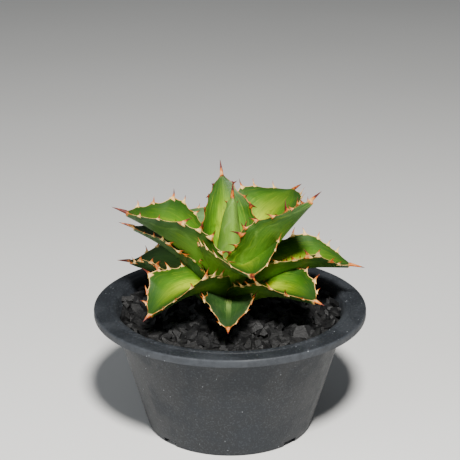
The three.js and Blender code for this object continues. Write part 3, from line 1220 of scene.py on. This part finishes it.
    def tooth(
        self, model: bpy.types.Mesh, side: int, share: float, size: float, hook: float
    ) -> bpy.types.Object:
        """Set one tooth on the margin.

        Args:
            model: the tooth to copy.
            side: which margin.
            share: share of the leaf's length.
            size: height in millimetres.
            hook: how far it leans, towards the tip if positive.

        Returns:
            The tooth as a piece, ready to be joined to the leaf.
        """
        one = np.array([share])
        root = self.surface(one, np.array([self.habit.tooth_root * side]), np.array([0.0]))[0]
        inside = self.surface(one, np.array([0.8 * side]), np.array([0.0]))[0]
        _, along, normal = self.frames(one)
        upturn = self.rng.uniform(0.5, 1.5)
        outwards = (Vector(root - inside).normalized() + upturn * Vector(normal[0])).normalized()
        forwards = Vector(along[0])
        forwards = (forwards - outwards * forwards.dot(outwards)).normalized()
        if hook < 0:
            forwards = -forwards
        across = outwards.cross(forwards)
        mesh = model.copy()
        spread = 0.55 + 0.75 * min(1.0, abs(hook))
        points = points_of(mesh)
        points[:, 0] += (spread - 1) * 0.45 * points[:, 2] ** 2
        place_points(mesh, points)
        ripe = np.empty(len(mesh.vertices), np.float32)
        mesh.attributes["ripe"].data.foreach_get("value", ripe)
        store(mesh, "ripe", ripe + self.ripeness + self.rng.uniform(-0.12, 0.2))
        turn = Matrix((forwards, across, outwards)).transposed().to_4x4()
        where = Matrix.Translation(Vector(root) - outwards * self.habit.tooth_sunk * size * MM)
        mesh.transform(where @ turn @ Matrix.Scale(self.habit.tooth_scale * size * MM, 4))
        piece = bpy.data.objects.new("tooth", mesh)
        bpy.context.collection.objects.link(piece)
        return piece

    def build(self, model: bpy.types.Mesh, finish: bpy.types.Material) -> bpy.types.Object:
        """Model the leaf with its teeth and dress it.

        Args:
            model: the tooth to copy.
            finish: the leaf's material.

        Returns:
            The finished leaf.
        """
        blade = self.blade()
        teeth = [self.tooth(model, *place) for place in self.places]
        piece = join([blade, *teeth], self.name.replace("leaf", "agave_leaf", 1))
        piece.data.materials.clear()
        piece.data.materials.append(finish)
        bpy.ops.object.shade_smooth()
        finish_piece(piece, self.age.slot, self.name)
        self.report(piece)
        return piece

    def report(self, piece: bpy.types.Object) -> None:
        """Log how far the leaf's box is from its CAD node's box.

        Args:
            piece: the finished leaf.
        """
        points = points_of(piece.data)
        low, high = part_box(self.name)
        gaps = [*(points.min(0) - np.array(low)), *(points.max(0) - np.array(high))]
        log.info("  box against CAD, mm: %s", " ".join(f"{gap / MM:.1f}" for gap in gaps))


def rosette() -> list[Leaf]:
    """List the leaves, youngest first, each at its place on the spiral.

    Returns:
        The leaves, not yet laid out.
    """
    older = LeafAge.OLDER
    return [
        Leaf("leaf_inner", 0, 0, 86, 10, 48, 20, 0.7, 0.5, teeth=5, ripeness=0.45),
        Leaf(
            "leaf_spear", 1, 40, 88, 7, 73, 13, 0.8, 0.4,
            age=LeafAge.SPEAR, teeth=2, ripeness=0.5, depth=0.0,
        ),
        Leaf("leaf_back_tall", 2, 0, 84, 21, 77, 28, 0.5, 0.5, teeth=7, ripeness=0.6, depth=0.0),
        Leaf("leaf_right_tall", 3, 0, 58, 56, 75, 35, 0.45, 0.6, -3, ripeness=0.4, depth=0.08),
        Leaf("leaf_left_tall", 4, 0, 60, 64, 60, 40, 0.65, 0.55, teeth=7, ripeness=0.05, depth=0.4),
        Leaf("leaf_back_right", 5, 0, 74, 68, 52, 39, 0.42, 0.66, teeth=8, ripeness=-0.15, depth=0.35),
        Leaf("leaf_front", 6, 7, 70, 62, 37, 38, 0.6, 0.6, teeth=7, ripeness=-0.05, depth=0.4),
        Leaf("leaf_back_left", 7, 0, 70, 49, 48, 40, 0.5, 0.6, age=older, depth=0.0),
        Leaf("leaf_right", 8, 0, 46, 74, 21, 32, 0.5, 0.66, ripeness=-0.05, depth=0.35),
        Leaf(
            "leaf_front_left", 9, 5, 44, 67, 10, 30, 0.5, 0.62, 6,
            teeth=7, ripeness=0.0, depth=0.5, spine=5.5, taper=1.35,
        ),
        Leaf("leaf_back", 10, 0, 56, 62, 34, 40, 0.5, 0.6),
        Leaf(
            "leaf_front_right", 11, 12, 34, 65, 16, 31, 0.42, 0.62,
            teeth=7, ripeness=0.0, depth=0.55, spine=6.5, taper=1.45,
        ),
        Leaf("leaf_left", 12, 6, 64, 61, 46, 22, 0.3, 0.55, age=older, teeth=9, depth=0.1),
        Leaf("leaf_back_right_low", 13, 0, 40, 60, 14, 36, 0.45, 0.6, age=older),
        Leaf(
            "leaf_front_low", 14, 14, 28, 58, 7, 23, 0.4, 0.6,
            age=LeafAge.DULL, teeth=6, ripeness=0.2, depth=0.1, spine=4.5, taper=1.3,
        ),
        Leaf("leaf_back_low", 15, -10, 30, 62, 14, 34, 0.45, 0.6, age=older),
        Leaf("leaf_left_low", 20, 5, 34, 71, 14, 34, 0.5, 0.6, age=older, depth=0.0),
    ]


# ---- Hidden pieces that keep their CAD shape -----------------------------------------------


def dress_hidden_pieces() -> None:
    """Give the stem, soil, drainage layer and screen their finishes."""
    finishes = {
        "stem": Granular("stem_bark", (0.1, 0.08, 0.03), (0.42, 0.36, 0.18), 420, 0.8),
        "potting_soil": Granular("potting_soil", (0.02, 0.012, 0.007), (0.16, 0.1, 0.06), 380, 0.96),
        "drainage_layer": Granular("pumice", (0.3, 0.27, 0.22), (0.75, 0.7, 0.62), 160, 0.95),
        "drainage_screen": Granular("screen_plastic", (0.012, 0.013, 0.015), (0.05, 0.052, 0.055), 700, 0.6),
    }
    for node, finish in finishes.items():
        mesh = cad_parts[node].data
        mesh.materials.clear()
        mesh.materials.append(finish.material())
        log.info("%s: keeps its CAD shape", node)


# ---- Studio --------------------------------------------------------------------------------


@dataclass(frozen=True)
class Lamp:
    """One soft round lamp, with its place and size in metres and its power in watts."""

    name: str
    spot: Spot
    size: float
    power: float
    tint: Colour

    def hang(self, target: Vector) -> None:
        """Hang the lamp.

        Args:
            target: what it points at.
        """
        light = bpy.data.lights.new(self.name, "AREA")
        light.shape = "DISK"
        light.size = self.size
        light.energy = self.power
        light.color = self.tint
        lamp = bpy.data.objects.new(self.name, light)
        bpy.context.collection.objects.link(lamp)
        lamp.location = self.spot
        lamp.rotation_euler = (target - Vector(self.spot)).to_track_quat("-Z", "Y").to_euler()


@dataclass
class Studio:
    """A pale floor, soft lights and the camera. Lengths are in metres and angles in degrees."""

    pan: Pan
    distance: float = 0.8
    sight_angle: float = 22.6
    tilt: float = 19.7
    lens: float = 113.2
    floor_size: float = 12.0
    sky: Colour = (0.9, 0.95, 1.0)
    sky_strength: float = 0.12
    lamps: tuple[Lamp, ...] = (
        Lamp("key", (0.05, -0.64, 0.86), 0.15, 26, (1.0, 0.98, 0.94)),
        Lamp("fill", (-1.1, -0.7, 0.6), 0.9, 5.5, (0.93, 0.97, 1.0)),
    )

    def floor(self) -> None:
        """Lay the pale floor."""
        clear_selection()
        bpy.ops.mesh.primitive_plane_add(size=self.floor_size, location=(0, self.floor_size / 4, 0))
        floor = bpy.context.object
        floor.name = "floor"
        graph = Graph("floor_paper")
        mottle = graph.noise(graph.place(), 3, 2)
        graph.surface(graph.mix(mottle, (0.74, 0.74, 0.73), (0.8, 0.8, 0.79)), 0.85, 0.2)
        floor.data.materials.append(graph.material)

    def camera(self) -> None:
        """Set the camera, looking along +Y and a little down at the rim's centre."""
        data = bpy.data.cameras.new("camera")
        data.lens = self.lens
        camera = bpy.data.objects.new("camera", data)
        bpy.context.collection.objects.link(camera)
        angle = math.radians(self.sight_angle)
        camera.location = (
            0, -self.distance * math.cos(angle), self.pan.top + self.distance * math.sin(angle)
        )
        camera.rotation_euler = (math.radians(90 - self.tilt), 0, 0)
        bpy.context.scene.camera = camera

    def build(self) -> None:
        """Set up the whole studio."""
        self.floor()
        for lamp in self.lamps:
            lamp.hang(Vector((0, 0, self.pan.top + 20 * MM)))
        world = bpy.data.worlds.new("soft_sky")
        world.use_nodes = True
        background = world.node_tree.nodes["Background"]
        background.inputs["Color"].default_value = (*self.sky, 1)
        background.inputs["Strength"].default_value = self.sky_strength
        bpy.context.scene.world = world
        self.camera()


def main() -> None:
    """Build the potted agave, piece by piece, and set it in its studio."""
    logging.basicConfig(level=logging.INFO, format="%(message)s")
    pan = Pan()
    pan.build()
    dressing = Dressing(pan)
    dressing.build()
    dress_hidden_pieces()
    habit = Habit()
    model = Tooth().build()
    finishes = {age: age.value.material() for age in LeafAge}
    for leaf in rosette():
        leaf.lay_out(pan, dressing.level, habit)
        leaf.build(model, finishes[leaf.age])
    Studio(pan).build()


if __name__ == "__main__":
    main()
